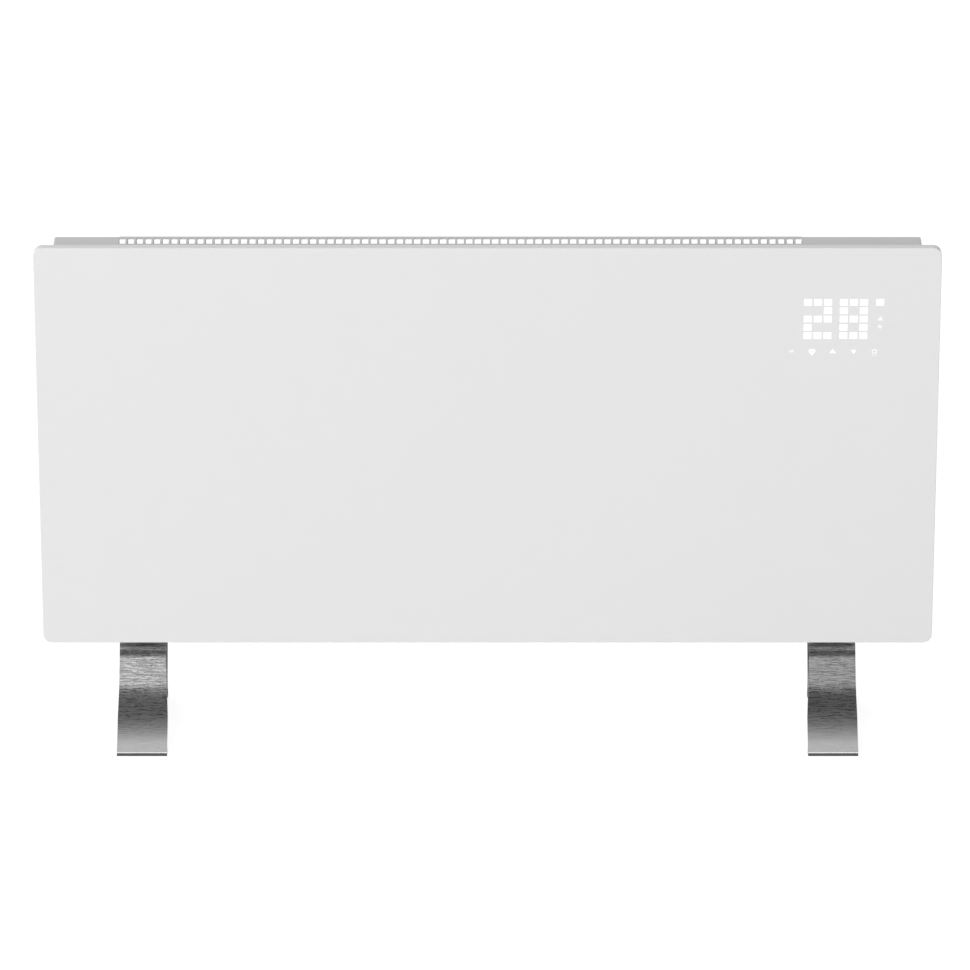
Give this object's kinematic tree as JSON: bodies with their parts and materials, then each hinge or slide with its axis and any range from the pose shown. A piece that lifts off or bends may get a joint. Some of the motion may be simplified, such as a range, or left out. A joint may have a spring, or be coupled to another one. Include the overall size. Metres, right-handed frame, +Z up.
{
  "type": "panel convector heater",
  "caption": "White glass-fronted panel convector heater with a lit digit display, standing on two arched brushed metal feet.",
  "frame": {"origin": "on the floor, in the middle of the footprint", "axes": "+X to the right of someone facing the glass, +Y from the glass to the back wall, +Z up"},
  "size_m": [0.9, 0.146, 0.533],
  "materials": {
    "white_glass": "white back-painted tempered glass, gloss",
    "white_paint": "white powder coat, satin",
    "casing_paint": "pale grey-white powder coat, satin",
    "comb_plastic": "pale grey-white moulded, satin, dark between the fins",
    "white_plastic": "white moulded, satin",
    "brushed_foot": "brushed across the strip",
    "black_rubber": "matte",
    "black_foam": "matte foam",
    "black_plastic": "moulded",
    "zinc_steel": "zinc plated",
    "aluminium_fins": "plain",
    "white_ceramic": "unglazed",
    "circuit_board": "solder mask",
    "cable_grey": "insulation"
  },
  "bodies": {
    "root": {"glass_panel": "white_glass", "glass_tape": "black_foam", "front_frame": "white_paint", "rear_housing": "casing_paint", "housing_nuts": "zinc_steel", "outlet_grille": "comb_plastic", "inlet_grille": "casing_paint", "foot_left": "brushed_foot", "foot_right": "brushed_foot", "foot_pad_front_left": "black_rubber", "foot_pad_rear_left": "black_rubber", "foot_pad_front_right": "black_rubber", "foot_pad_rear_right": "black_rubber", "foot_block_left": "black_plastic", "foot_block_right": "black_plastic", "foot_mount_left": "zinc_steel", "foot_mount_right": "zinc_steel", "foot_screws": "zinc_steel", "display_carrier": "white_plastic", "display_board": "circuit_board", "display_leds": "white_plastic", "touch_pads": "black_foam", "display_ribbon": "cable_grey", "partition_plate": "zinc_steel", "control_tray": "white_plastic", "power_board": "circuit_board", "relays": "black_plastic", "supply_module": "black_plastic", "board_capacitors": "black_plastic", "terminal_block": "white_ceramic", "element_fins": "aluminium_fins", "element_rod": "zinc_steel", "element_bushes": "white_ceramic", "element_bracket_left": "zinc_steel", "element_bracket_right": "zinc_steel", "rear_shield": "aluminium_fins", "front_shield": "aluminium_fins", "thermal_cutout": "black_plastic", "lead_grommet": "black_rubber", "element_lead_right": "cable_grey", "element_lead_left": "cable_grey", "room_sensor": "zinc_steel", "tip_switch_case": "black_plastic", "tip_switch_cover": "black_plastic", "tip_switch_pin": "zinc_steel", "rocker_frame": "black_plastic", "cable_gland": "black_plastic", "gland_nut": "black_plastic"},
    "rocker": {"rocker_button": "black_plastic"},
    "pendulum": {"tip_pendulum": "zinc_steel"}
  },
  "joints": [
    {"name": "rocker_tilt", "type": "hinge", "parent": "root", "child": "rocker", "pos_m": [0.4308, 0.012, 0.205], "axis": [0, -1, 0], "range_deg": [0, 22]},
    {"name": "tip_swing", "type": "hinge", "parent": "root", "child": "pendulum", "pos_m": [0.33175, 0.012, 0.1555], "axis": [1, 0, 0], "range_deg": [-30, 30]}
  ]
}
